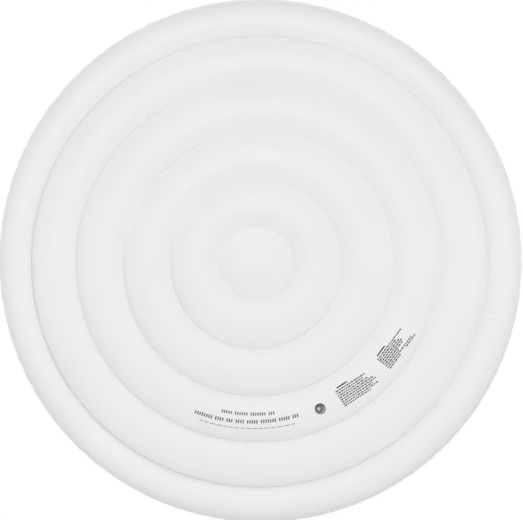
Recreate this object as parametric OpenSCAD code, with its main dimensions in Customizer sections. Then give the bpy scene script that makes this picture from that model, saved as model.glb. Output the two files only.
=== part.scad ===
// Inflatable bladder of a round spa cover, blown up and lying flat.
// Two PVC sheets are welded together round the rim and to five baffle rings inside, which hold
// them at one height. A stem valve in the chamber between rings 3 and 4 is pushed down into its well.
// Millimetres, +Z up, origin on the floor under the middle.

/* [Bladder] */
// Diameter of the outer tube, which sets the overall thickness
tube_d = 104; // [96:0.5:116]
// Width of the weld round the rim
rim_w = 6; // [3:1:12]
// Diameter of the centre dome, inside the weld of ring 1
dome_d = 192; // [160:1:230]
// Width of ring chamber 1, between the welds of rings 1 and 2
chamber_1_w = 124; // [100:1:150]
// Width of ring chamber 2
chamber_2_w = 127; // [100:1:150]
// Width of ring chamber 3, which holds the valve
chamber_3_w = 121; // [100:1:150]
// Width of ring chamber 4, next to the outer tube
chamber_4_w = 117; // [100:1:150]
// How much lower than the outer tube the ring chambers stand
chamber_drop = 1; // [0.5:0.5:6]
// How much lower than the outer tube the centre dome stands
dome_drop = 2; // [0.5:0.5:8]
// Thickness of the PVC sheets
film_t = 0.5; // [0.4:0.05:0.8]
// Width of the band that the outer tube presses flat on the floor
foot_w = 8; // [4:1:16]

/* [Baffle rings] */
// Height over both sheets at the rings
ring_h = 60; // [50:1:70]
// Width of the weld between a strip's edge and a sheet
weld_w = 8; // [5:1:12]
// Thickness of the strips
strip_t = 0.5; // [0.4:0.05:0.8]
// Gap between the ends of the strip in rings 1 to 3
strip_gap = 100; // [60:5:140]
// Direction of the gap in ring 1, in degrees
gap_1_az = 143; // [120:1:180]
// Direction of the gap in ring 2, in degrees
gap_2_az = 149; // [120:1:180]
// Direction of the gap in ring 3, in degrees
gap_3_az = 160; // [120:1:180]
// Diameter of the air holes in rings 4 and 5
air_hole_d = 24; // [10:1:34]
// Number of air holes in each of rings 4 and 5
air_holes = 6; // [3:1:12]

/* [Valve well] */
// Direction of the valve from the middle, in degrees
valve_az = -66; // [-80:1:-50]
// Diameter of the well
well_d = 29; // [28:0.5:34]
// Depth of the pushed-in stem's foot below the sheet
well_depth = 16; // [15:0.5:20]
// Diameter of the well's floor
well_floor_d = 20; // [19:0.5:24]
// How far to one side of the well the pushed-in stem stands
stem_shift = 4; // [0:0.5:4.5]
// Diameter of the valve's weld flange
flange_d = 44; // [38:1:56]
// Thickness of the weld flange
flange_t = 0.8; // [0.5:0.1:1.2]
// Depth of the neck under the flange
neck_depth = 4.5; // [4:0.5:6]
// Wall of the neck and of the folding web
web_t = 0.8; // [0.5:0.1:1]

/* [Valve stem and cap] */
// Outside diameter of the stem
stem_d = 13; // [12.5:0.1:14]
// Diameter of the nozzle bore
bore_d = 8.4; // [7:0.1:8.8]
// Height of the stem's mouth over the sheet when it is pushed in
mouth_proud = 0.3; // [0.2:0.1:2]
// Diameter of the foot of the stem
stem_foot_d = 17; // [16:0.5:18]
// Thickness of the foot of the stem
stem_foot_t = 0.8; // [0.6:0.1:1.5]
// Height of the bead round the stem's mouth
bead_h = 1.4; // [0.8:0.1:1.6]
// How far the bead stands out of the stem
bead_out = 0.5; // [0.2:0.1:0.6]
// Diameter of the cap
cap_d = 18; // [17:0.1:18.5]
// Thickness of the cap
cap_t = 2.2; // [1.8:0.1:2.6]
// Diameter of the dish in the top of the cap
dish_d = 11; // [8:0.5:13]
// Depth of the dish
dish_depth = 0.6; // [0.3:0.1:0.9]
// Length of the plug under the cap
plug_l = 4; // [3:0.1:4.2]
// How much wider the plug is at the cap than at its tip
plug_taper = 1.3; // [1.2:0.1:1.6]
// Clearance round the plug
plug_gap = 0.15; // [0.1:0.05:0.2]
// Thickness of the check flap
flap_t = 0.6; // [0.4:0.1:1]
// How far the flap reaches past the bore all round
flap_lap = 1.4; // [1:0.1:1.8]
// How far the flap's hinge stands outside the flap's disc
flap_hinge_out = 0.4; // [0.2:0.1:0.6]
// Width of the flap's hinge
flap_hinge_w = 5; // [3:0.5:7]

/* [Cap strap] */
// Direction of the strap from the stem, in degrees
strap_az = 60; // [45:1:75]
// Distance of the middle of the strap's bend from the middle of the stem
bend_reach = 11.7; // [11.4:0.1:12]
// Width of the strap
strap_w = 5; // [3:0.5:6]
// Thickness of the strap
strap_thick = 1; // [0.8:0.1:1.2]
// Mean radius of the strap's bend
bend_r = 1.8; // [1.4:0.1:2]
// Length of the lugs that the strap joins
lug_l = 0.8; // [0.4:0.1:1]

/* [Hidden] */
$fn = 96;

// Gap between faces that lie on each other but part in use, gap round what slides, and bond line
touch = 0.02;
clear = 0.3;
weld_gap = 0.25;
// Thinness of the hull's end discs, and a length longer than any part
thin = 0.01;
far = 1000;

// Each ring lies a chamber and a weld outside the one before, and the outer tube outside ring 5.
ring_1_r = dome_d / 2 + weld_w / 2;
ring_2_r = ring_1_r + chamber_1_w + weld_w;
ring_3_r = ring_2_r + chamber_2_w + weld_w;
ring_4_r = ring_3_r + chamber_3_w + weld_w;
ring_5_r = ring_4_r + chamber_4_w + weld_w;
tube_r = tube_d / 2;
tube_x = ring_5_r + weld_w / 2 + sqrt(tube_r * tube_r - ring_h * ring_h / 4);
rim_r = tube_x + tube_r + rim_w;
foot_sink = tube_r - sqrt(tube_r * tube_r - foot_w * foot_w / 4);
mid_z = tube_r - foot_sink;
land_z = mid_z + ring_h / 2;
chamber_rise = tube_r - ring_h / 2 - chamber_drop;
dome_rise = tube_r - ring_h / 2 - dome_drop;

// The valve stands on the crown of chamber 3, which spans rings 3 and 4.
crown_3_in = ring_3_r + weld_w / 2;
crown_3_out = ring_4_r - weld_w / 2;
crown_3_r = crown_radius(chamber_3_w, chamber_rise);
valve_r = (crown_3_in + crown_3_out) / 2;
valve_z = land_z + chamber_rise;
mouth_z = valve_z + mouth_proud;
stem_z = valve_z - well_depth;
neck_z = valve_z - neck_depth;
web_floor_z = stem_z + stem_foot_t + touch;
cap_z = mouth_z + touch;
plug_tip_d = bore_d;
plug_top_d = plug_tip_d + plug_taper;
seat_depth = plug_l + 2 * plug_gap;
strap_top_z = cap_z + cap_t / 2;

// Radius of an arc over a chord of width w that rises by h
function crown_radius(w, h) = (w * w / 4 + h * h) / (2 * h);

// Section of the swell of the top sheet between the welds at a and b, set in by inset from outside
module crown(a, b, rise, inset) {
    r = crown_radius(b - a, rise);
    intersection() {
        translate([(a + b) / 2, land_z + rise - r]) circle(r = r - inset);
        translate([max(a, 0), mid_z]) square([b - max(a, 0), tube_r]);
    }
}

// Sections of the centre dome and of the four ring chambers, on the top side
module crowns(inset) {
    crown(-ring_1_r + weld_w / 2, ring_1_r - weld_w / 2, dome_rise, inset);
    rings = [ring_1_r, ring_2_r, ring_3_r, ring_4_r, ring_5_r];
    for (i = [1 : len(rings) - 1])
        crown(rings[i - 1] + weld_w / 2, rings[i] - weld_w / 2, chamber_rise, inset);
}

// Half section of the whole blown-up body, set in by inset from outside
module body_section(inset) {
    half_h = ring_h / 2 - inset;
    translate([0, mid_z - half_h]) square([tube_x, 2 * half_h]);
    crowns(inset);
    translate([0, 2 * mid_z]) mirror([0, 1]) crowns(inset);
    intersection() {
        translate([tube_x, mid_z]) circle(r = tube_r - inset);
        translate([0, inset]) square([rim_r, 2 * tube_r]);
    }
}

// Half section of both sheets, one film thick, with the rim weld
module film_section() {
    difference() {
        union() {
            body_section(0);
            translate([tube_x, mid_z - film_t]) square([rim_r - tube_x, 2 * film_t]);
        }
        body_section(film_t);
    }
}

module at_valve() {
    rotate([0, 0, valve_az]) translate([valve_r, 0, 0]) rotate([0, 0, -valve_az]) children();
}

// The pushed-in stem stands to the -X side of the well
module at_stem() {
    at_valve() translate([-stem_shift, 0, 0]) children();
}

// Solid wedge of chamber 3 under the valve, set in by inset from outside
module crown_3_wedge(inset) {
    wedge = 4 * asin(flange_d / 2 / crown_3_in);
    rotate([0, 0, valve_az - wedge / 2]) rotate_extrude(angle = wedge)
        crown(crown_3_in, crown_3_out, chamber_rise, inset);
}

module top_sheet() {
    color("#f1f1ef") difference() {
        rotate_extrude() intersection() {
            film_section();
            translate([0, mid_z]) square([rim_r, far]);
        }
        at_valve() translate([0, 0, land_z]) cylinder(d = well_d, h = far);
    }
}

module bottom_sheet() {
    color("#ecece9") rotate_extrude() intersection() {
        film_section();
        square([rim_r, mid_z]);
    }
}

// Section of a baffle strip at radius r, with its edges folded into weld lands
module strip_section(r) {
    strip_h = ring_h - 2 * film_t;
    for (z = [mid_z - strip_h / 2, mid_z + strip_h / 2 - strip_t])
        translate([r - weld_w / 2, z]) square([weld_w, strip_t]);
    translate([r - strip_t / 2, mid_z - strip_h / 2]) square([strip_t, strip_h]);
}

// Ring 1, 2 or 3: a strip bent round until its ends are strip_gap apart, for the air to pass
module open_ring(r, gap_az) {
    gap = strip_gap / r * 180 / PI;
    color("#e6e6e2") rotate([0, 0, gap_az + gap / 2]) rotate_extrude(angle = 360 - gap)
        strip_section(r);
}

// Ring 4 or 5: a closed strip with air holes punched through it
module holed_ring(r) {
    color("#e6e6e2") difference() {
        rotate_extrude() strip_section(r);
        for (i = [0 : air_holes - 1])
            rotate([0, 0, (i + 0.5) * 360 / air_holes]) translate([r, 0, mid_z])
                rotate([0, 90, 0]) cylinder(d = air_hole_d, h = weld_w, center = true);
    }
}

// Flange welded under the top sheet, with the neck of the well hanging from it
module valve_flange() {
    color("#c9cdd0") intersection() {
        crown_3_wedge(film_t + weld_gap);
        difference() {
            union() {
                difference() {
                    at_valve() translate([0, 0, land_z]) cylinder(d = flange_d, h = far);
                    crown_3_wedge(film_t + weld_gap + flange_t);
                }
                at_valve() translate([0, 0, neck_z]) cylinder(d = well_d, h = far);
            }
            at_valve() translate([0, 0, land_z]) cylinder(d = well_d - 2 * web_t, h = far);
        }
    }
}

// Outline of the folding web's pushed-in cup, set in by inset from outside
module web_cup(inset) {
    hull($fn = 32) {
        at_valve() translate([0, 0, neck_z]) cylinder(d = well_d - 2 * inset, h = inset + thin);
        at_stem() translate([0, 0, web_floor_z + inset])
            cylinder(d = well_floor_d - 2 * inset, h = thin);
    }
}

module valve_web() {
    color("#c9cdd0") difference() {
        web_cup(0);
        web_cup(web_t);
        at_stem() translate([0, 0, stem_z]) cylinder(d = stem_d + 2 * clear, h = well_depth);
        at_valve() translate([0, 0, neck_z]) cylinder(d = flange_d, h = well_depth);
    }
}

module valve_stem() {
    color("#b4b9bd") at_stem() difference() {
        union() {
            translate([0, 0, stem_z]) cylinder(d = stem_d, h = mouth_z - stem_z);
            translate([0, 0, stem_z]) cylinder(d = stem_foot_d, h = stem_foot_t);
            translate([0, 0, mouth_z - bead_h]) cylinder(d = stem_d + 2 * bead_out, h = bead_h);
            // lug that the strap's lower end joins
            rotate([0, 0, strap_az])
                translate([0, -strap_w / 2, strap_top_z - 2 * bend_r - strap_thick / 2])
                    cube([stem_d / 2 + lug_l, strap_w, strap_thick]);
        }
        translate([0, 0, stem_z - far / 2]) cylinder(d = bore_d, h = far);
        translate([0, 0, mouth_z - seat_depth])
            cylinder(d1 = plug_tip_d + 2 * plug_gap, d2 = plug_top_d + 2 * plug_gap, h = seat_depth);
    }
}

// Check flap that lies under the bore and swings down on the edge away from the strap
module valve_flap() {
    flap_r = bore_d / 2 + flap_lap;
    color("#c4c8cb") at_stem() rotate([0, 0, strap_az + 180])
        translate([0, 0, stem_z - touch - flap_t]) linear_extrude(height = flap_t) {
            circle(r = flap_r);
            translate([0, -flap_hinge_w / 2]) square([flap_r + flap_hinge_out, flap_hinge_w]);
        }
}

module valve_cap() {
    edge = cap_t / 2;
    color("#b4b9bd") at_stem() {
        translate([0, 0, cap_z]) rotate_extrude() difference() {
            union() {
                square([cap_d / 2 - edge, cap_t]);
                translate([cap_d / 2 - edge, edge]) circle(r = edge);
            }
            translate([-far, 0]) square([far, cap_t]);
            translate([0, cap_t - dish_depth]) square([dish_d / 2, cap_t]);
        }
        // the plug's taper runs on into the cap
        translate([0, 0, cap_z - plug_l])
            cylinder(d1 = plug_tip_d, d2 = plug_top_d + (plug_top_d - plug_tip_d) * edge / plug_l, h = plug_l + edge);
        // lug that the strap's upper end joins
        rotate([0, 0, strap_az]) translate([cap_d / 2 - edge, -strap_w / 2, strap_top_z - strap_thick / 2])
            cube([edge + lug_l, strap_w, strap_thick]);
    }
}

// Strap bent out and back between the lugs of the cap and the stem
module cap_strap() {
    low = strap_top_z - 2 * bend_r;
    color("#c4c8cb") at_stem() rotate([0, 0, strap_az]) rotate([90, 0, 0])
        linear_extrude(height = strap_w, center = true) {
            translate([cap_d / 2 + lug_l, strap_top_z - strap_thick / 2])
                square([bend_reach - cap_d / 2 - lug_l, strap_thick]);
            translate([stem_d / 2 + lug_l, low - strap_thick / 2])
                square([bend_reach - stem_d / 2 - lug_l, strap_thick]);
            translate([bend_reach, strap_top_z - bend_r]) difference() {
                circle(r = bend_r + strap_thick / 2);
                circle(r = bend_r - strap_thick / 2);
                translate([-far, -far]) square([far, 2 * far]);
            }
        }
}

top_sheet();
bottom_sheet();
open_ring(ring_1_r, gap_1_az);  // baffle_ring_1
open_ring(ring_2_r, gap_2_az);  // baffle_ring_2
open_ring(ring_3_r, gap_3_az);  // baffle_ring_3
holed_ring(ring_4_r);  // baffle_ring_4
holed_ring(ring_5_r);  // baffle_ring_5
valve_flange();
valve_web();
valve_stem();
valve_flap();
valve_cap();
cap_strap();
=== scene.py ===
import math

import bmesh
import bpy
import numpy as np
from mathutils import Matrix, Vector
from mathutils.bvhtree import BVHTree


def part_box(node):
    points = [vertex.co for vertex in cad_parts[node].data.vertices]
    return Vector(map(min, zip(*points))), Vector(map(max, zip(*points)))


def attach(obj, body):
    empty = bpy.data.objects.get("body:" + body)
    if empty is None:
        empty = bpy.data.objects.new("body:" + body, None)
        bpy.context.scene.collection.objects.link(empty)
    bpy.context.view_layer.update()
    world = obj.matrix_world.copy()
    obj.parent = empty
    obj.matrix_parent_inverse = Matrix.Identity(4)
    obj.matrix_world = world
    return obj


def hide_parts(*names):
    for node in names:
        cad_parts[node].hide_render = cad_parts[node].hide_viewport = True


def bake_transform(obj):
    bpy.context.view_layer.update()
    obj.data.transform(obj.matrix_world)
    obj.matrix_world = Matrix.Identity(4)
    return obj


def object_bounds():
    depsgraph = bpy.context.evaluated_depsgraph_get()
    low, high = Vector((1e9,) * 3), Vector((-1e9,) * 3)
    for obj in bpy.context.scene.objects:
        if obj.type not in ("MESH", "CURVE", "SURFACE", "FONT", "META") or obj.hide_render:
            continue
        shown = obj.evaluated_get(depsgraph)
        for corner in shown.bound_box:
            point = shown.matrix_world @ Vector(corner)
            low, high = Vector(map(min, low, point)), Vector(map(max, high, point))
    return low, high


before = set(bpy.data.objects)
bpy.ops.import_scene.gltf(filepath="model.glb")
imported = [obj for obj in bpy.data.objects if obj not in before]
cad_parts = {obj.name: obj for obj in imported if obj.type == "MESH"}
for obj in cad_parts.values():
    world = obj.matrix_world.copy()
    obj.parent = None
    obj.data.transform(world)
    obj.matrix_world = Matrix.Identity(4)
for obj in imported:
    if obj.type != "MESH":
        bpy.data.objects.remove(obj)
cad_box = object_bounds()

MM = 0.001
ROUND = 2 * math.pi

# ---------------------------------------------------------------- sizes from the frame
FILM = 0.5 * MM             # thickness of the sheets
WELD_W = 8 * MM             # width of the ring welds
RIM_W = 6 * MM              # width of the weld round the rim
TUBE_R = 52 * MM            # radius of the outer tube
DROP, DOME_DROP = 1 * MM, 2 * MM        # how far the chambers and the dome stay below the tube
GAP_AZ = (143, 149, 160)    # where the strips of rings 1 to 3 leave their gap, in degrees
GAP_L = 100 * MM

RIM_R = cad_box[1][0]
RINGS = [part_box(f"baffle_ring_{i}")[1][0] - WELD_W / 2 for i in range(1, 6)]
MID_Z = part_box("top_sheet")[0][2]
LAND_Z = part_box("baffle_ring_5")[1][2] + FILM       # top of the film on a ring weld
RING_H = 2 * (LAND_Z - MID_Z)
TUBE_X = RIM_R - RIM_W - TUBE_R         # radius of the tube's middle line
TUBE_END = TUBE_X + TUBE_R              # radius where the rim weld starts

flange_lo, flange_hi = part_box("valve_flange")
web_lo, web_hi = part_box("valve_web")
VALVE = Vector(((flange_lo[0] + flange_hi[0]) / 2, (flange_lo[1] + flange_hi[1]) / 2))
STEM = Vector((VALVE.x - 4 * MM, VALVE.y))
WELL_R, FLANGE_R = 14.5 * MM, 22 * MM
WELL_TOP = flange_hi[2]
NECK_Z, FLOOR_Z = web_hi[2], web_lo[2]
CAP_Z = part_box("valve_stem")[1][2] + 0.02 * MM
CAP_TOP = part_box("valve_cap")[1][2]


# ---------------------------------------------------------------- small helpers
def nothing_selected():
    if bpy.context.object and bpy.context.object.mode != "OBJECT":
        bpy.ops.object.mode_set(mode="OBJECT")
    bpy.ops.object.select_all(action="DESELECT")


def only(obj):
    """Makes obj the one selected and active object."""
    nothing_selected()
    obj.select_set(True)
    bpy.context.view_layer.objects.active = obj


def edit_mode(select="VERT"):
    bpy.ops.object.mode_set(mode="EDIT")
    bpy.ops.mesh.select_mode(type=select)


def select_whole(obj):
    """Opens obj for editing with all of it selected."""
    only(obj)
    edit_mode()
    bpy.ops.mesh.select_all(action="SELECT")


def apply_modifiers(obj):
    only(obj)
    for m in list(obj.modifiers):
        bpy.ops.object.modifier_apply(modifier=m.name)


def smooth_step(x, lo, hi):
    """0 below lo, 1 above hi, and smooth between."""
    t = np.clip((x - lo) / (hi - lo), 0, 1)
    return t * t * (3 - 2 * t)


def turn_gap(az, centre):
    """Difference of two directions in radians, from -pi to pi. centre is in degrees."""
    return (az - math.radians(centre) + math.pi) % ROUND - math.pi


def get_points(obj):
    co = np.empty(len(obj.data.vertices) * 3, np.float32)
    obj.data.vertices.foreach_get("co", co)
    return co.reshape(-1, 3).astype(float)


def set_points(obj, co):
    obj.data.vertices.foreach_set("co", co.astype(np.float32).ravel())
    obj.data.update()


def set_mask(obj, name, values):
    """A soft mask that the material reads, one value for each point."""
    a = obj.data.attributes.new(name, "FLOAT", "POINT")
    a.data.foreach_set("value", values.astype(np.float32))


def turned_and_placed(obj, way, x, y):
    """Turns a piece's points by an angle in radians and shifts them to x, y."""
    co = get_points(obj)
    c, s = math.cos(way), math.sin(way)
    px, py = co[:, 0].copy(), co[:, 1].copy()
    co[:, 0], co[:, 1] = x + c * px - s * py, y + s * px + c * py
    set_points(obj, co)


def waves(seed, length, lo, hi, count=24):
    """A smooth irregular line of period length, made of waves from lo to hi long.

    Returns a function of the distance along it.
    """
    rng = np.random.default_rng(seed)
    k = np.unique(np.round(length / rng.uniform(lo, hi, count)))
    amp = rng.uniform(0.5, 1, len(k))
    ph = rng.uniform(0, ROUND, len(k))
    amp /= math.sqrt((amp ** 2).sum() / 2)

    def f(s):
        out = np.zeros_like(s)
        for ki, ai, pi in zip(k, amp, ph):
            out += ai * np.sin(ROUND * ki * s / length + pi)
        return out
    return f


def patches(seed, lo, hi, count=28):
    """Smooth uneven patches from lo to hi across. Returns a function of x and y."""
    rng = np.random.default_rng(seed)
    size = rng.uniform(lo, hi, count)
    way = rng.uniform(0, ROUND, count)
    ph = rng.uniform(0, ROUND, count)

    def f(x, y):
        out = np.zeros_like(x)
        for s, w, p in zip(size, way, ph):
            out += np.sin(ROUND * (x * math.cos(w) + y * math.sin(w)) / s + p)
        return out * math.sqrt(2 / count)
    return f


def drawn_line(name, points, y=0):
    """A line drawn from point to point, each given as (x, z). It stays open for editing."""
    nothing_selected()
    bpy.ops.mesh.primitive_plane_add(size=MM)
    obj = bpy.context.object
    obj.name = obj.data.name = name
    edit_mode()
    bpy.ops.mesh.select_all(action="SELECT")
    bpy.ops.mesh.merge(type="CENTER")
    bpy.ops.transform.translate(value=(points[0][0], y, points[0][1]))
    for a, b in zip(points, points[1:]):
        bpy.ops.mesh.extrude_vertices_move(
            TRANSFORM_OT_translate={"value": (b[0] - a[0], 0, b[1] - a[1])})
    return obj


def drawn_and_turned(name, points, steps, merge=0.01 * MM):
    """A profile drawn from point to point in the XZ plane and turned once round Z."""
    obj = drawn_line(name, points)
    bpy.ops.object.mode_set(mode="OBJECT")
    turn = obj.modifiers.new("turn", "SCREW")
    turn.steps = turn.render_steps = steps
    turn.use_merge_vertices = True
    turn.merge_threshold = merge
    apply_modifiers(obj)
    return obj


# ---------------------------------------------------------------- profile of the sheets
LINE = 0.4 * MM             # half width of the line in which two swells meet
FIRST_STEP, LAST_STEP = 0.35 * MM, 5.2 * MM     # spacing of the profile's points


def crease_steps(length):
    """Distances from a weld line up to length, close together near it and wider further off."""
    out, d, step = [], 0, FIRST_STEP
    while d < length - step:
        d += step
        out.append(d)
        step = min(step * 1.5, LAST_STEP)
    return out


def swell(x0, x1, rise, half=False):
    """Points of the arc that swells over x0 to x1, without its ends."""
    w = (x1 - x0) / 2
    r = (w * w + rise * rise) / (2 * rise)
    mid = (x0 + x1) / 2
    span = 2 * math.asin(w / r)
    steps = crease_steps(r * span / 2)
    arc = steps + [r * span / 2] + [r * span - s for s in reversed(steps)]
    pts = []
    for s in arc:
        a = -span / 2 + s / r
        pts.append((mid + r * math.sin(a), LAND_Z + rise - r + r * math.cos(a)))
    if half:
        n = len(pts) // 2
        pts = [(0.0, LAND_Z + rise)] + pts[n + 1:]
    return pts


def tube_points():
    """Points of the outer tube, which swells a little over the weld of ring 5 as well."""
    start = math.pi - math.asin((LAND_Z - MID_Z) / TUBE_R)
    length = TUBE_R * start
    near = crease_steps(length * 0.5)
    far = [length - s for s in near]
    pts = []
    for s in near + far[::-1]:
        a = start - s / TUBE_R
        over = (WELD_W / 2 - LINE) * (1 - float(smooth_step(s, 0, 38 * MM)))
        pts.append((TUBE_X + TUBE_R * math.cos(a) - over, MID_Z + TUBE_R * math.sin(a)))
    return pts


def sheet_profile():
    """Upper half section of the blown-up film, from the middle out to the edge of the rim weld."""
    ends = [-RINGS[0]] + RINGS
    pts = []
    for i in range(5):
        rise = TUBE_R - RING_H / 2 - (DOME_DROP if i == 0 else DROP)
        pts += swell(ends[i] + LINE, ends[i + 1] - LINE, rise, half=(i == 0))
        pts += [(ends[i + 1] + d, LAND_Z) for d in (-LINE, 0, LINE)]
    pts += tube_points()
    # the tube turns outwards in a small hollow and ends in the flat weld
    pts = [p for p in pts if not (p[0] > TUBE_X and p[1] < MID_Z + 3.2 * MM)]
    hollow = ((0.15, 2.2), (0.5, 1.1), (1.1, 0.65))
    pts += [(TUBE_END + x * MM, MID_Z + z * MM) for x, z in hollow]
    pts += [(TUBE_END + x * MM, MID_Z + FILM) for x in (2.0, 3.2, 4.6, 5.7)]
    pts.append((RIM_R, MID_Z + FILM * 0.8))
    return pts


# ---------------------------------------------------------------- how uneven the film is
# For each ring: how far it lies off the middle in mm, to which side in degrees, and how oval it
# is in mm. All are long the same way.
WANDER = ((2, 60, 1), (4, 255, 2), (5, 335, 5), (1, 100, 3), (1, 340, 4))
OVAL_AZ = 17
# The flat weld band of rings 4 and 5: its half width in mm and its middle's direction
BANDS = {3: (2.2, -2), 4: (2.9, -12)}
BAND_SPREAD = math.radians(26)
# How much the swells stand up inside and outside each weld on the near left, and lie down across
# from there, in mm
ROLL_IN = (2, 5, 6, 7, 13)
ROLL_OUT = (3, 4, 5, 5, 3)
FLATTER = (2, 3, 3, 3, 2)
CLOSE_AZ, ROLL_AZ = 205, 240    # where the swells close in most and roll down most steeply
# Patches of small dents: direction, radius, size and depth
DENTS = ((20, 290, 45, 0.3), (18, 450, 40, 0.25), (195, 285, 40, 0.2), (183, 410, 35, 0.2),
         (130, 500, 40, 0.25), (340, 550, 45, 0.2), (262, 560, 35, 0.2), (310, 300, 40, 0.15))
# Directions of the short creases over the crown of the tube: a few apart, then a close run, then
# a pair
CREASES = [-0.5, -5, -7.5, -10] + [-11.5 - 0.7 * k for k in range(7)] + [-25, -27]
CREASE_DEPTH = 1.1 * MM
CRINKLE_DEPTH = 0.2 * MM


def wander(q, az):
    """How far the film at radius q and direction az lies from its true place, as (dx, dy)."""
    knots = [0] + RINGS + [TUBE_X + TUBE_R * 0.7, RIM_R]
    off = [(a * MM * math.cos(math.radians(d)), a * MM * math.sin(math.radians(d)))
           for a, d, _ in WANDER]
    shift_x = np.interp(q, knots, [off[0][0]] + [o[0] for o in off] + [0, 0])
    shift_y = np.interp(q, knots, [off[0][1]] + [o[1] for o in off] + [0, 0])
    oval = np.interp(q, knots, [0] + [a * MM for _, _, a in WANDER] + [0, 0])
    out = oval * np.cos(2 * (az - math.radians(OVAL_AZ)))
    return shift_x + out * np.cos(az), shift_y + out * np.sin(az)


def rim_puckers():
    """Puckers of the rim weld, one every 60 to 90 mm: direction, depth, width and lean."""
    rng = np.random.default_rng(11)
    out, a = [], 0.02
    while a < ROUND - 0.05:
        out.append((a, rng.uniform(0.55, 1.0) * MM, rng.uniform(3.6, 6.0) * MM, rng.uniform(-1, 1)))
        a += rng.uniform(60, 92) * MM / RIM_R
    return out


PUCKERS = rim_puckers()


class Sheet:
    """A turned sheet while it is dressed. side is 1 for the top sheet and -1 for the bottom one."""

    def __init__(self, obj, side):
        self.side = side
        self.seed = 20 if side > 0 else 60
        self.co = get_points(obj)
        self.q = np.hypot(self.co[:, 0], self.co[:, 1])
        self.az = np.arctan2(self.co[:, 1], self.co[:, 0])
        self.up = (self.co[:, 2] - MID_Z) * side        # height over the middle, outwards
        self.q_new = self.q.copy()
        self.lift = np.zeros_like(self.q)
        self.pucker = np.zeros_like(self.q)
        self.weld = np.zeros_like(self.q)


def flat_band(sheet, i, d, near):
    """The weld shows as a flat band where the film is pulled less, on the right of rings 4 and 5."""
    width, centre = BANDS[i]
    wide = width * MM * np.exp(-(turn_gap(sheet.az, centre) / BAND_SPREAD) ** 2)
    off_line = (near > 0.9 * LINE) * (1 - smooth_step(near, LINE, 26 * MM))
    sheet.q_new += np.sign(d) * wide * off_line
    sheet.weld = np.maximum(sheet.weld, (near < 1.2 * LINE) * 1.0)


def hollow_over_gap(sheet, i, near):
    """With no strip below, the film is free and the line becomes a soft hollow.

    Returns how free the film is, from 0 to 1.
    """
    reach = np.abs(turn_gap(sheet.az, GAP_AZ[i])) * RINGS[i]
    free = 1 - smooth_step(reach, GAP_L / 2 - 25 * MM, GAP_L / 2 + 45 * MM)
    c = 13 * MM * free
    hollow = 0.66 * (np.sqrt(near ** 2 + c ** 2) - near)
    sheet.lift += hollow * (1 - smooth_step(near, 25 * MM, 55 * MM))
    return free


def weld_crinkles(sheet, i, d, near, free):
    """Fine crinkles square to the weld, in patches."""
    length = ROUND * RINGS[i]
    along = sheet.az * RINGS[i]
    fine = waves(sheet.seed + i, length, 11 * MM, 24 * MM)
    broad = waves(sheet.seed + 10 + i, length, 90 * MM, 260 * MM, 8)
    patchy = np.clip(0.75 + 0.45 * broad(along), 0.15, 1.6) * (1 - free)
    fade = np.exp(-near / (8 * MM)) * (1 - np.exp(-near / (1.4 * MM)))
    crinkle = fine(along + np.sign(d) * 2.5 * MM)
    crinkle = np.where(crinkle < 0, crinkle, 0.55 * crinkle)
    sheet.lift += CRINKLE_DEPTH * patchy * fade * crinkle
    sheet.pucker = np.maximum(sheet.pucker, patchy * np.exp(-near / (9 * MM)))


def roll_to_weld(sheet, i, d, near, free):
    """The swells close in over the weld, so that they meet in a narrow line, most on the near left.

    There they also roll down to it steeply, and across from there they lie flatter.
    """
    left = np.cos(turn_gap(sheet.az, CLOSE_AZ))
    close = (1.5 if i == 4 else 1.0) * (1 + (0.45 if i >= 3 else 0.25) * left)
    sheet.lift += close * MM * (1 - free) * (1 - np.exp(-near / (1.1 * MM))) * np.exp(-near / (15 * MM))
    side_on = np.cos(turn_gap(sheet.az, ROLL_AZ))
    steep = np.where(d < 0, ROLL_IN[i], ROLL_OUT[i]) * np.clip(side_on, 0, 1)
    steep = steep - FLATTER[i] * np.clip(-side_on, 0, 1)
    sheet.lift += steep * MM * (1 - free) * (1 - np.exp(-near / (15 * MM))) * np.exp(-near / (34 * MM))


def uneven_swells(sheet):
    """The swells aren't quite even, and carry a few patches of small dents."""
    x, y = sheet.co[:, 0], sheet.co[:, 1]
    big = patches(sheet.seed + 30, 140 * MM, 420 * MM)
    small = patches(sheet.seed + 31, 35 * MM, 90 * MM)
    on_swell = np.ones_like(sheet.q)
    for ring in RINGS:
        on_swell *= smooth_step(np.abs(sheet.q - ring), 0, 30 * MM)
    on_swell *= 1 - smooth_step(sheet.q, TUBE_X + 20 * MM, TUBE_END)
    sheet.lift += on_swell * (0.5 * MM * big(x, y) + 0.09 * MM * small(x, y))
    for deg, r, size, depth in DENTS:
        dx = x - r * MM * math.cos(math.radians(deg))
        dy = y - r * MM * math.sin(math.radians(deg))
        mask = np.exp(-(dx ** 2 + dy ** 2) / (size * MM) ** 2)
        bumps = (np.sin(dx / (3.1 * MM) + 1.3 * np.sin(dy / (5.2 * MM)))
                 + np.sin(dy / (3.7 * MM) + 1.1 * np.sin(dx / (6.1 * MM))))
        sheet.lift += depth * MM * mask * bumps


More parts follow.
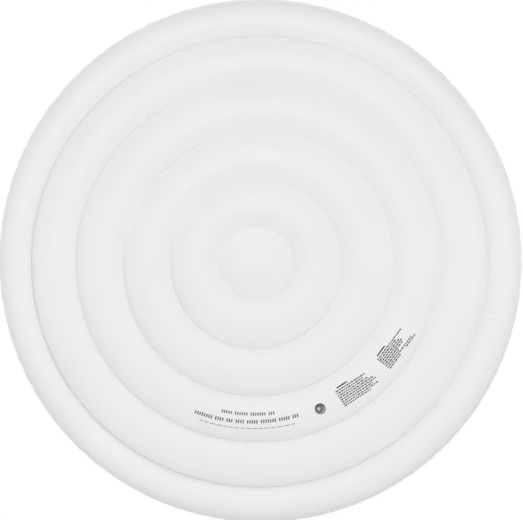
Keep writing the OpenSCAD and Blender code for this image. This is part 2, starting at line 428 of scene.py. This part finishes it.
def pucker_rim(sheet):
    """Puckers run in from the rim weld and up the tube, with a fine ripple beside it."""
    q, az = sheet.q, sheet.az
    beyond = q > TUBE_END
    a_tube = np.arctan2(sheet.up, q - TUBE_X)       # 0 at the rim, pi/2 at the top of the tube
    on_tube = q > TUBE_X - 10 * MM

    def near_rim(reach):
        return np.where(on_tube, np.exp(-np.clip(a_tube, 0, 3) / reach), 0)

    run = np.where(beyond, 1, near_rim(0.34))
    inward = np.zeros_like(q)
    upward = np.zeros_like(q)
    for a, depth, width, lean in PUCKERS:
        far_side = 0.35 + 0.65 * float(smooth_step(math.sin(a), -0.1, 0.5))
        right = math.exp(-(float(turn_gap(np.array(a), -3)) / 0.35) ** 2)
        s = turn_gap(az, math.degrees(a)) * RIM_R + lean * 6 * MM * (1 - run)
        v = np.exp(-(np.abs(s) / width) ** 1.4)
        inward += 3.4 * depth * (far_side + 0.3 * right) * v
        upward += 1.5 * depth * lean * np.exp(-(np.abs(s) / (2.2 * width)) ** 2)
    n_x = np.where(beyond, 1, np.cos(a_tube))
    n_z = np.where(beyond, 0, np.sin(a_tube))
    flat = waves(7, ROUND * RIM_R, 25 * MM, 70 * MM)
    fine = waves(sheet.seed + 40, ROUND * RIM_R, 9 * MM, 20 * MM)
    edge = smooth_step(q, TUBE_END - 1 * MM, RIM_R)
    ripple = fine(az * RIM_R) * 0.3 * MM * near_rim(0.2) * (q < TUBE_END)
    sheet.q_new += -inward * run * n_x + ripple * n_x
    sheet.co[:, 2] += sheet.side * (-inward * run * n_z * 0.6)
    sheet.co[:, 2] += edge * (upward + 0.9 * MM * flat(az * RIM_R))
    sheet.pucker = np.maximum(sheet.pucker, 0.9 * near_rim(0.3))
    sheet.weld = np.maximum(sheet.weld, smooth_step(q, TUBE_END + 0.8 * MM, TUBE_END + 1.6 * MM))


def crown_creases(sheet):
    """Short creases over the crown of the tube, on the right, deep only in the top sheet."""
    past = sheet.q - TUBE_X
    for k, deg in enumerate(CREASES):
        s = turn_gap(sheet.az, deg) * sheet.q
        s = s + past * 0.15 * math.sin(3 * k) + 1.2 * MM * np.sin(past / (9 * MM) + k)
        mask = np.exp(-(np.abs(past + (15 + 5 * math.sin(5 * k)) * MM) / (21 * MM)) ** 3)
        mask = mask * (0.7 + 0.3 * math.sin(2 * k))
        if sheet.side > 0:
            sheet.co[:, 2] -= CREASE_DEPTH * mask * np.exp(-(np.abs(s) / (1.7 * MM)) ** 1.5)
        sheet.pucker = np.maximum(sheet.pucker, 0.5 * mask * np.exp(-(s / (9 * MM)) ** 2))


def dress(obj, side):
    """Gives a turned sheet its wandering welds, crinkles, puckers and dents."""
    sheet = Sheet(obj, side)
    for i, ring in enumerate(RINGS):
        d = sheet.q - ring
        near = np.abs(d)
        free = np.zeros_like(d)
        if i in BANDS:
            flat_band(sheet, i, d, near)
        if i < len(GAP_AZ):
            free = hollow_over_gap(sheet, i, near)
        weld_crinkles(sheet, i, d, near, free)
        roll_to_weld(sheet, i, d, near, free)
    uneven_swells(sheet)
    sheet.co[:, 2] += side * sheet.lift
    pucker_rim(sheet)
    crown_creases(sheet)
    # place the welds where they wander to
    dx, dy = wander(sheet.q, sheet.az)
    sheet.co[:, 0] = sheet.q_new * np.cos(sheet.az) + dx
    sheet.co[:, 1] = sheet.q_new * np.sin(sheet.az) + dy
    set_points(obj, sheet.co)
    set_mask(obj, "pucker", np.clip(sheet.pucker, 0, 1))
    set_mask(obj, "weld", sheet.weld)


def refine_round(obj, start, end, lo, hi, cuts=3):
    """Cuts the mesh more finely round the middle, between two directions in degrees and two radii."""
    only(obj)
    edit_mode("EDGE")
    bpy.ops.mesh.select_all(action="DESELECT")
    bm = bmesh.from_edit_mesh(obj.data)
    same = 0.01 * MM
    for e in bm.edges:
        a, b = e.verts[0].co, e.verts[1].co
        level = abs(a.xy.length - b.xy.length) < same and abs(a.z - b.z) < same
        if level and lo < a.xy.length < hi:
            if start < math.degrees(math.atan2(a.y + b.y, a.x + b.x)) < end:
                e.select_set(True)
    bmesh.update_edit_mesh(obj.data)
    bpy.ops.mesh.subdivide(number_cuts=cuts, ngon=False)
    bpy.ops.object.mode_set(mode="OBJECT")


def faces_outwards(obj, up):
    """Turns the film's faces so that they look up, or down."""
    n = np.empty(len(obj.data.polygons) * 3, np.float32)
    obj.data.polygons.foreach_get("normal", n)
    if (n.reshape(-1, 3)[:, 2].sum() > 0) != up:
        select_whole(obj)
        bpy.ops.mesh.flip_normals()
        bpy.ops.object.mode_set(mode="OBJECT")


def give_thickness(obj, wall):
    m = obj.modifiers.new("thickness", "SOLIDIFY")
    m.thickness = wall
    m.offset = -1
    m.use_even_offset = False
    apply_modifiers(obj)
    bpy.ops.object.shade_smooth()


def shape_round_valve(v):
    """The flange shows as a low step with a soft edge and pinches the film round it."""
    off = v.co.xy - VALVE
    d = off.length
    if d < 60 * MM and v.co.z > MID_Z:
        a = math.atan2(off.y, off.x)
        step = 0.45 * MM * (1 - float(smooth_step(d, FLANGE_R - 1.5 * MM, FLANGE_R + 1.8 * MM)))
        rays = math.sin(9 * a + 0.7) + 0.7 * math.sin(14 * a + 2.1) + 0.5 * math.sin(23 * a)
        pinch = 0.34 * MM * rays * math.exp(-abs(d - FLANGE_R - 2 * MM) / (9 * MM))
        dip = 0.5 * MM * (1 - float(smooth_step(d, WELL_R, WELL_R + 1.6 * MM)))
        v.co.z += step + pinch - dip


def open_the_well(obj):
    """Cuts the round hole over the valve's well in the top sheet, after refining the film round it."""
    def select_near_valve(reach):
        bpy.ops.mesh.select_all(action="DESELECT")
        bm = bmesh.from_edit_mesh(obj.data)
        for f in bm.faces:
            c = f.calc_center_median()
            f.select_set((c.xy - VALVE).length < reach and c.z > MID_Z)
        bmesh.update_edit_mesh(obj.data)

    only(obj)
    edit_mode()
    select_near_valve(34 * MM)
    bpy.ops.mesh.subdivide(number_cuts=3, ngon=False)
    select_near_valve(WELL_R)
    bpy.ops.mesh.delete(type="FACE")
    bm = bmesh.from_edit_mesh(obj.data)
    for v in bm.verts:
        off = v.co.xy - VALVE
        if v.is_boundary and off.length < WELL_R + 3 * MM:
            off = off.normalized() * WELL_R
            v.co.x, v.co.y = VALVE.x + off.x, VALVE.y + off.y
    for v in bm.verts:
        shape_round_valve(v)
    bmesh.update_edit_mesh(obj.data)
    bpy.ops.object.mode_set(mode="OBJECT")


profile = sheet_profile()
top = drawn_and_turned("top_sheet_film", profile, 1080)
refine_round(top, -30, 2, RINGS[4] + 6 * MM, TUBE_X + 24 * MM)
dress(top, 1)
faces_outwards(top, True)
open_the_well(top)
give_thickness(top, FILM)

bottom = drawn_and_turned("bottom_sheet_film", [(x, 2 * MID_Z - z) for x, z in profile], 540)
dress(bottom, -1)
co = get_points(bottom)
co[:, 2] = np.maximum(co[:, 2], 0)      # it rests on the floor
set_points(bottom, co)
faces_outwards(bottom, False)
give_thickness(bottom, FILM)


# ---------------------------------------------------------------- materials
def new_material(name, colour, roughness):
    mat = bpy.data.materials.new(name)
    mat.use_nodes = True
    nt = mat.node_tree
    bsdf = nt.nodes["Principled BSDF"]
    bsdf.inputs["Base Color"].default_value = (*colour, 1)
    bsdf.inputs["Roughness"].default_value = roughness
    return mat, nt, bsdf


def math_node(nt, operation, a, b=None):
    n = nt.nodes.new("ShaderNodeMath")
    n.operation = operation
    for i, v in enumerate((a, b)):
        if isinstance(v, (int, float)):
            n.inputs[i].default_value = v
        elif v is not None:
            nt.links.new(v, n.inputs[i])
    return n.outputs[0]


def own_place(nt):
    """A point's place on the piece itself."""
    return nt.nodes.new("ShaderNodeTexCoord").outputs["Object"]


def mask_of(nt, name):
    n = nt.nodes.new("ShaderNodeAttribute")
    n.attribute_name = name
    return n.outputs["Fac"]


def noise(nt, place, scale, detail, roughness=0.5):
    n = nt.nodes.new("ShaderNodeTexNoise")
    n.inputs["Scale"].default_value = scale
    n.inputs["Detail"].default_value = detail
    n.inputs["Roughness"].default_value = roughness
    nt.links.new(place, n.inputs["Vector"])
    return n.outputs[0]


def bump(nt, height, strength, distance, under=None):
    """Relief from a height, on top of the relief under it."""
    n = nt.nodes.new("ShaderNodeBump")
    n.inputs["Strength"].default_value = strength
    n.inputs["Distance"].default_value = distance
    nt.links.new(height, n.inputs["Height"])
    if under is not None:
        nt.links.new(under, n.inputs["Normal"])
    return n.outputs[0]


def two_tones(nt, factor, stops, dark, light):
    n = nt.nodes.new("ShaderNodeValToRGB")
    for element, stop, tone in zip(n.color_ramp.elements, stops, (dark, light)):
        element.position = stop
        element.color = (*tone, 1)
    nt.links.new(factor, n.inputs[0])
    return n.outputs[0]


def mixed(nt, factor, a, b):
    """Mixes two colours, each a tone or a socket."""
    n = nt.nodes.new("ShaderNodeMix")
    n.data_type = "RGBA"
    nt.links.new(factor, n.inputs["Factor"])
    for name, tone in (("A", a), ("B", b)):
        if isinstance(tone, tuple):
            n.inputs[name].default_value = (*tone, 1)
        else:
            nt.links.new(tone, n.inputs[name])
    return n.outputs["Result"]


def shade_of(colour, share):
    return tuple(min(1, c * share) for c in colour)


def film_material(name, colour, grain):
    """Calendered white PVC film: faint grain and mottle, crinkles by the welds, pressed weld bands."""
    mat, nt, bsdf = new_material(name, colour, 0.55)
    bsdf.inputs["Specular IOR Level"].default_value = 0.36
    place = own_place(nt)
    split = nt.nodes.new("ShaderNodeSeparateXYZ")
    nt.links.new(place, split.inputs[0])
    x, y, z = split.outputs
    # a place on the film counted round the middle and outwards, so that the crinkles run outwards
    r = math_node(nt, "SQRT", math_node(nt, "ADD", math_node(nt, "MULTIPLY", x, x),
                                        math_node(nt, "MULTIPLY", y, y)))
    join = nt.nodes.new("ShaderNodeCombineXYZ")
    for i, (way, scale) in enumerate(((math_node(nt, "ARCTAN2", y, x), 62.0), (r, 9.0), (z, 9.0))):
        nt.links.new(math_node(nt, "MULTIPLY", way, scale), join.inputs[i])
    rays = noise(nt, join.outputs[0], 1.6, 3.0, 0.6)
    crinkles = bump(nt, math_node(nt, "MULTIPLY", rays, mask_of(nt, "pucker")), 0.35, 0.0012)
    soft = bump(nt, noise(nt, place, 24.0, 2.0, 0.45), 0.25, 0.0006, crinkles)
    fine = bump(nt, noise(nt, place, grain, 2.0, 0.6), 0.12, 0.0002, soft)
    nt.links.new(fine, bsdf.inputs["Normal"])
    mottle = noise(nt, place, 5.5, 4.0, 0.55)
    tint = two_tones(nt, mottle, (0.3, 0.7), shade_of(colour, 0.985), colour)
    nt.links.new(mixed(nt, mask_of(nt, "weld"), tint, shade_of(colour, 0.98)), bsdf.inputs["Base Color"])
    rough = nt.nodes.new("ShaderNodeMapRange")
    rough.inputs["To Min"].default_value, rough.inputs["To Max"].default_value = 0.4, 0.5
    nt.links.new(mottle, rough.inputs["Value"])
    nt.links.new(rough.outputs[0], bsdf.inputs["Roughness"])
    return mat


def pale_middle(nt, place, rim_tone, pale):
    """The cap's colour is paler in the middle and dark round its rim."""
    off = nt.nodes.new("ShaderNodeVectorMath")
    off.operation = "SUBTRACT"
    off.inputs[1].default_value = (STEM.x, STEM.y, CAP_TOP)
    nt.links.new(place, off.inputs[0])
    flat = nt.nodes.new("ShaderNodeVectorMath")
    flat.operation = "MULTIPLY"
    flat.inputs[1].default_value = (1, 1, 0)
    nt.links.new(off.outputs[0], flat.inputs[0])
    reach = nt.nodes.new("ShaderNodeVectorMath")
    reach.operation = "LENGTH"
    nt.links.new(flat.outputs[0], reach.inputs[0])
    fade = nt.nodes.new("ShaderNodeMapRange")
    fade.interpolation_type = "SMOOTHSTEP"
    fade.inputs["From Min"].default_value = 3.3 * MM
    fade.inputs["From Max"].default_value = 5.8 * MM
    nt.links.new(reach.outputs["Value"], fade.inputs["Value"])
    return mixed(nt, fade.outputs[0], pale, rim_tone)


def valve_material(name, colour, pale=None, roughness=0.33, specular=None):
    """Soft moulded PVC, a little cloudy and shiny."""
    mat, nt, bsdf = new_material(name, colour, roughness)
    if specular is not None:
        bsdf.inputs["Specular IOR Level"].default_value = specular
    place = own_place(nt)
    tone = two_tones(nt, noise(nt, place, 260.0, 3.0), (0.32, 0.68),
                     shade_of(colour, 0.84), shade_of(colour, 1.06))
    if pale:
        tone = pale_middle(nt, place, tone, pale)
    nt.links.new(tone, bsdf.inputs["Base Color"])
    nt.links.new(bump(nt, noise(nt, place, 1400.0, 2.0), 0.15, 0.0001), bsdf.inputs["Normal"])
    return mat


def ink_material(name, dark, worn):
    """Dull ink that lies a little unevenly."""
    mat, nt, bsdf = new_material(name, dark, 0.6)
    tone = two_tones(nt, noise(nt, own_place(nt), 700.0, 3.0, 0.6), (0.4, 0.72), dark, worn)
    nt.links.new(tone, bsdf.inputs["Base Color"])
    return mat


film = film_material("white_pvc_film", (0.825, 0.824, 0.821), 900.0)
strip_film = film_material("baffle_pvc_film", (0.78, 0.78, 0.776), 700.0)
pale_pvc = valve_material("cloudy_pale_pvc", (0.8, 0.8, 0.79))
grey_pvc = valve_material("cloudy_grey_pvc", (0.3, 0.3, 0.3))
# the lip's near-black colour is painted shadow: it stands for the shade in the gap round the well
lip_painted_shadow_pvc = valve_material("welded_lip_painted_shadow", (0.018, 0.018, 0.019), roughness=0.5, specular=0.25)
cap_pvc = valve_material("stopper_pvc", (0.13, 0.13, 0.132), pale=(0.5, 0.5, 0.49))
# the strap's near-black colour is painted shadow: it stands for the shade by the hinge
strap_painted_shade_pvc = valve_material("strap_painted_shade_pvc", (0.085, 0.085, 0.088))
ink = ink_material("dull_charcoal_ink", (0.022, 0.022, 0.024), (0.09, 0.09, 0.095))


def dressed_in(obj, mat):
    obj.data.materials.clear()
    obj.data.materials.append(mat)


for piece in (top, bottom):
    dressed_in(piece, film)
    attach(piece, "root")
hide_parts("top_sheet")
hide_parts("bottom_sheet")
for name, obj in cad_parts.items():
    if name.startswith("baffle"):
        dressed_in(obj, strip_film)
    elif name == "valve_flange":
        dressed_in(obj, pale_pvc)
    elif name in ("valve_stem", "valve_flap"):
        dressed_in(obj, grey_pvc)


# ---------------------------------------------------------------- valve
def round_piece(name, points, centre, closed=False):
    """A profile of (radius, height) points turned round an upright axis through centre."""
    tiny = 0.005 * MM
    chain = list(points) + ([points[0]] if closed else [])
    obj = drawn_and_turned(name, chain, 96, merge=tiny)
    select_whole(obj)
    bpy.ops.mesh.remove_doubles(threshold=tiny)
    bpy.ops.mesh.normals_make_consistent(inside=False)
    bpy.ops.transform.translate(value=(centre[0], centre[1], 0))
    bpy.ops.object.mode_set(mode="OBJECT")
    bpy.ops.object.shade_smooth_by_angle(angle=math.radians(50))
    return obj


def give_wall(obj, wall):
    """Thickness to both sides of a thin piece."""
    m = obj.modifiers.new("wall", "SOLIDIFY")
    m.thickness = wall
    m.offset = 0


# rounded lip of the well, which holds the cut edge of the film
lip = round_piece("well_lip", [(WELL_R + r * MM, WELL_TOP + z * MM) for r, z in (
    (-1.5, -1.6), (-1.62, -0.6), (-1.55, 0.2), (-1.25, 0.7), (-0.75, 0.95), (-0.25, 0.9),
    (0.1, 0.65), (0.25, 0.2), (0.2, -0.15), (0.05, -0.25), (0.0, -1.6))], VALVE, closed=True)
# the lip is coloured near-black as painted shadow of the well's gap round the cap
dressed_in(lip, lip_painted_shadow_pvc)
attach(lip, "root")

# soft folding web between the neck and the stem's foot: radius, share of the way down, and height
web = round_piece("folding_web", [(r * MM, NECK_Z + (FLOOR_Z - NECK_Z) * t + z * MM) for r, t, z in (
    (14.4, 0, 0.35), (14.15, 0.02, 0), (13.2, 0.05, 0), (12.3, 0.09, 0), (11.65, 0.16, 0),
    (11.5, 0.25, 0), (11.65, 0.35, 0), (11.5, 0.46, 0), (11.1, 0.58, 0), (10.6, 0.72, 0),
    (10.2, 0.86, 0), (9.75, 0.96, 0), (9.0, 1, 0.35), (8.2, 1, 0.62), (7.5, 1, 0.45),
    (6.9, 1, 0.4))], (0, 0))
co = get_points(web)
lean = np.clip((co[:, 2] - FLOOR_Z) / (NECK_Z - FLOOR_Z), 0, 1)
co[:, 0] += STEM.x + (VALVE.x - STEM.x) * lean
co[:, 1] += STEM.y + (VALVE.y - STEM.y) * lean
set_points(web, co)
give_wall(web, 0.7 * MM)
apply_modifiers(web)
dressed_in(web, pale_pvc)
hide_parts("valve_web")
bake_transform(web)

# stopper: dished cap with a thick rolled rim over a ribbed plug
cap = round_piece("stopper_cap", [(r * MM, CAP_Z + z * MM) for r, z in (
    (0, 1.15), (3.2, 1.2), (4.9, 1.34), (5.5, 1.6), (5.8, 1.95), (6.3, 2.17), (7.3, 2.2),
    (8.1, 2.08), (8.7, 1.7), (8.98, 1.15), (8.9, 0.55), (8.55, 0.15), (8.0, 0.02), (4.9, 0.02),
    (4.3, -0.05), (4.18, -0.5), (4.3, -0.9), (4.02, -1.3), (4.0, -2.1), (4.1, -2.4), (3.8, -2.8),
    (3.7, -3.4), (3.3, -3.92), (2.6, -3.98), (0, -3.98))], STEM)
dressed_in(cap, cap_pvc)
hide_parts("valve_cap")
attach(cap, "cap")

# strap folded between the cap and the stem, with soft edges
STRAP_W, STRAP_T, STRAP_AZ = 5.24 * MM, 1.12 * MM, 60
strap_lo, strap_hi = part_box("cap_strap")
LEG_TOP = strap_hi[2] - 0.5 * MM
LEG_LOW = strap_lo[2] + 0.5 * MM
LEG_END = 11.7 * MM         # where the straight legs meet the bend
bend_r = (LEG_TOP - LEG_LOW) / 2
bend = [math.radians(a) for a in range(15, 180, 15)]
path = [(r * MM, LEG_TOP) for r in (7.9, 9.0, 10.4, 11.7)]
path += [(LEG_END + bend_r * math.sin(a), LEG_TOP - bend_r + bend_r * math.cos(a)) for a in bend]
path += [(r * MM, LEG_LOW) for r in (11.7, 10.4, 9.0, 7.7, 6.7)]
strap = drawn_line("hinge_strap", path, y=-STRAP_W / 2)
bpy.ops.mesh.select_all(action="SELECT")
bpy.ops.mesh.extrude_edges_move(TRANSFORM_OT_translate={"value": (0, STRAP_W, 0)})
bpy.ops.object.mode_set(mode="OBJECT")
give_wall(strap, STRAP_T)
edges = strap.modifiers.new("soft_edges", "BEVEL")
edges.width = 0.22 * MM
edges.segments = 2
edges.limit_method = "ANGLE"
edges.angle_limit = math.radians(50)
apply_modifiers(strap)
select_whole(strap)
bpy.ops.mesh.normals_make_consistent(inside=False)
bpy.ops.object.mode_set(mode="OBJECT")
turned_and_placed(strap, math.radians(STRAP_AZ), STEM.x, STEM.y)
bpy.ops.object.shade_smooth_by_angle(angle=math.radians(40))
# the strap is coloured dark as painted shadow by the hinge
dressed_in(strap, strap_painted_shade_pvc)
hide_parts("cap_strap")
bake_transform(strap)


# ---------------------------------------------------------------- plain printed strokes, in mm
BAR_CELL = 2.6              # a bar is cut this finely, so that it can follow the film


def bars(name, sizes):
    """Flat bars in one plane, each given as (x, y, width, height)."""
    nothing_selected()
    for k, (x, y, w, h) in enumerate(sizes):
        at = (x * MM, y * MM, 0)
        bpy.ops.mesh.primitive_grid_add(
            size=MM, location=at if k else (0, 0, 0),
            x_subdivisions=max(1, round(w / BAR_CELL)), y_subdivisions=max(1, round(h / BAR_CELL)))
        if k == 0:
            obj = bpy.context.object
            obj.name = obj.data.name = name
            edit_mode()
            bpy.ops.mesh.select_all(action="SELECT")
            bpy.ops.transform.translate(value=at)
        bpy.ops.transform.resize(value=(w, h, 1), center_override=at)
    bpy.ops.object.mode_set(mode="OBJECT")
    return obj


def strokes(seed, length, w, h, pitch):
    """Upright strokes in word-like groups along a row."""
    rng = np.random.default_rng(seed)
    out, x = [], 0
    while x < length:
        for _ in range(int(rng.integers(3, 9))):
            if x < length:
                out.append((x, 0, w, h))
            x += pitch
        x += 0.9 * pitch
    return out


def dashes(seed, start, end, y, h, lengths, gap):
    """Level dashes from start to end along a row."""
    rng = np.random.default_rng(seed)
    out, x = [], start
    while x < end - lengths[0]:
        w = min(rng.uniform(*lengths), end - x)
        out.append((x + w / 2, y, w, h))
        x += w + gap
    return out


def laid_round(obj, az, radius, drift, length):
    """Bends a flat row round the middle, from direction az on.

    The row starts at radius and drifts inwards by drift along its length.
    """
    co = get_points(obj)
    q = (radius - drift * co[:, 0] / (length * MM)) * MM - co[:, 1]
    a = math.radians(az) + co[:, 0] / (radius * MM)
    co[:, 0], co[:, 1] = q * np.cos(a), q * np.sin(a)
    set_points(obj, co)


def laid_straight(obj, az, radius, tilt):
    """Places flat rows with their upper left corner at a direction and radius.

    The rows run square to that direction, turned by tilt degrees.
    """
    a, r = math.radians(az), radius * MM
    turned_and_placed(obj, math.radians(az + tilt + 90), r * math.cos(a), r * math.sin(a))


def small_print(name, seed, bar, rows, pitch):
    """A block of dashed rows under a short bar.

    Each row is given by where its stretches start and end.
    """
    out = [((bar[0] + bar[1]) / 2, 7.6, bar[1] - bar[0], 4.0)]
    for k, row in enumerate(rows):
        for start, end in zip(row[::2], row[1::2]):
            out += dashes(seed + k, start, end, -pitch * k, 3.6, (3.4, 9.5), 2.1)
    return bars(name, out)


line_1 = bars("print", strokes(1, 144, 3.1, 8.4, 6.3))
laid_round(line_1, -103.3, 414.5, 2, 144)
line_2 = bars("print_2", strokes(2, 288, 3.3, 9.8, 6.5))
laid_round(line_2, -112.4, 439, 8, 288)
line_3 = bars("print_3", dashes(3, 0, 268, 0, 1.6, (8, 20), 4))
laid_round(line_3, -110, 456.5, 5, 268)
block_1 = small_print("print_4", 10, (9, 42), (
    (0, 95), (0, 85), (0, 100), (0, 110), (0, 115), (0, 100), (0, 118), (0, 85)), 6.7)
laid_straight(block_1, -58.4, 412, 2.8)
block_2 = small_print("print_5", 30, (8, 42), (
    (0, 105), (0, 75), (0, 80), (0, 85), (0, 85), (0, 60), (0, 105), (0, 50, 75, 120)), 6.1)
laid_straight(block_2, -38.3, 419, 3.2)
nothing_selected()
for obj in (line_2, line_3, block_1, block_2, line_1):
    obj.select_set(True)
bpy.context.view_layer.objects.active = line_1
bpy.ops.object.join()
printed = line_1
printed.name = printed.data.name = "printed_strokes"

# the strokes move with the film under them and lie down on it
film_tree = BVHTree.FromObject(top, bpy.context.evaluated_depsgraph_get())
co = get_points(printed)
dx, dy = wander(np.hypot(co[:, 0], co[:, 1]), np.arctan2(co[:, 1], co[:, 0]))
co[:, 0] += dx
co[:, 1] += dy
for p in co:
    hit = film_tree.ray_cast(Vector((p[0], p[1], 0.3)), Vector((0, 0, -1)))
    p[2] = hit[0].z + 0.1 * MM
set_points(printed, co)
faces_outwards(printed, True)
give_thickness(printed, 0.16 * MM)
dressed_in(printed, ink)
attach(printed, "root")


# ---------------------------------------------------------------- floor and room
def mixed_shaders(nt, factor, a, b, out_kind):
    """Two shaders mixed by a factor, into the material's or the world's output."""
    mix = nt.nodes.new("ShaderNodeMixShader")
    out = nt.nodes.new(out_kind)
    for link, socket in zip((factor, a.outputs[0], b.outputs[0]), mix.inputs):
        nt.links.new(link, socket)
    nt.links.new(mix.outputs[0], out.inputs[0])


nothing_selected()
bpy.ops.mesh.primitive_plane_add(size=14)
floor = bpy.context.object
floor.name = "floor"
pale_floor = bpy.data.materials.new("pale_floor")
pale_floor.use_nodes = True
nt = pale_floor.node_tree
nt.nodes.clear()
matt = nt.nodes.new("ShaderNodeBsdfDiffuse")
matt.inputs[0].default_value = (0.94, 0.94, 0.94, 1)
glow = nt.nodes.new("ShaderNodeEmission")
glow.inputs[0].default_value = (1, 1, 1, 1)
glow.inputs[1].default_value = 1.05
ray = nt.nodes.new("ShaderNodeLightPath")
mixed_shaders(nt, math_node(nt, "MULTIPLY", ray.outputs["Is Camera Ray"], 0.8), matt, glow,
              "ShaderNodeOutputMaterial")
floor.data.materials.append(pale_floor)

world = bpy.data.worlds.new("soft_room")
bpy.context.scene.world = world
world.use_nodes = True
nt = world.node_tree
nt.nodes.clear()
room, seen = (nt.nodes.new("ShaderNodeBackground") for _ in range(2))
for background, strength in ((room, 0.275), (seen, 1.0)):
    background.inputs[0].default_value = (1, 1, 1, 1)
    background.inputs[1].default_value = strength
ray = nt.nodes.new("ShaderNodeLightPath")
mirrored = math_node(nt, "MAXIMUM", ray.outputs["Is Glossy Ray"], ray.outputs["Is Transmission Ray"])
mixed_shaders(nt, math_node(nt, "MAXIMUM", ray.outputs["Is Camera Ray"], mirrored), room, seen,
              "ShaderNodeOutputWorld")


# ---------------------------------------------------------------- soft lights and camera
def hang_lamp(lamp_data, place, towards):
    lamp = bpy.data.objects.new(lamp_data.name, lamp_data)
    bpy.context.collection.objects.link(lamp)
    lamp.location = place
    lamp.rotation_euler = towards.to_track_quat("-Z", "Y").to_euler()


def broad_light(name, way, high, energy, spread):
    """Soft light from a compass direction and height, over a spread, all in degrees."""
    lamp_data = bpy.data.lights.new(name, "SUN")
    lamp_data.energy = energy
    lamp_data.angle = math.radians(spread)
    way, high = math.radians(way), math.radians(high)
    from_there = Vector((math.cos(way) * math.cos(high), math.sin(way) * math.cos(high), math.sin(high)))
    hang_lamp(lamp_data, (0, 0, 0), -from_there)


def softbox(name, place, aim, size, watts):
    lamp_data = bpy.data.lights.new(name, "AREA")
    lamp_data.shape = "DISK"
    lamp_data.size = size
    lamp_data.energy = watts
    hang_lamp(lamp_data, place, Vector(aim) - Vector(place))


for i, light in enumerate((
        (90, 74, 0.15, 50), (45, 42, 0.2, 50), (0, 14, 0.25, 60), (90, 14, 0.4, 60),
        (180, 14, 0.45, 60), (225, 14, 0.25, 60), (315, 14, 0.5, 60))):
    broad_light(f"soft_light_{i}", *light)

# two softboxes overhead, and a ring of six low ones that look in at the swells, stronger in front
softbox("back_softbox", (0.05, 0.75, 2.6), (0, 0, 0.1), 0.9, 12)
softbox("left_softbox", (-0.6, 0.2, 2.6), (0, 0, 0.1), 0.9, 7.5)
for k, watts in enumerate((2.1, 1.0, 0.9, 1.5, 1.5, 1.7)):
    way = Vector((math.cos(math.radians(60 * k)), math.sin(math.radians(60 * k)), 0))
    place, aim = way * 1.25 + Vector((0, 0, 0.9)), way * 0.55 + Vector((0, 0, 0.1))
    softbox(f"ring_softbox_{k}", place, aim, 0.8, watts)

cam_data = bpy.data.cameras.new("camera")
cam_data.sensor_width = 36
cam_data.sensor_fit = "HORIZONTAL"
cam_data.lens = 60.1
cam = bpy.data.objects.new("camera", cam_data)
bpy.context.collection.objects.link(cam)
eye, aim = Vector((0.129, 0.093, 2.469)), Vector((0.013, 0.009, 0.052))
ahead = (aim - eye).normalized()
right = ahead.cross(Vector((0, 1, 0))).normalized()
above = right.cross(ahead)
cam.matrix_world = Matrix.Translation(eye) @ Matrix((right, above, -ahead)).transposed().to_4x4()
bpy.context.scene.camera = cam
bpy.context.scene.view_settings.view_transform = "Standard"
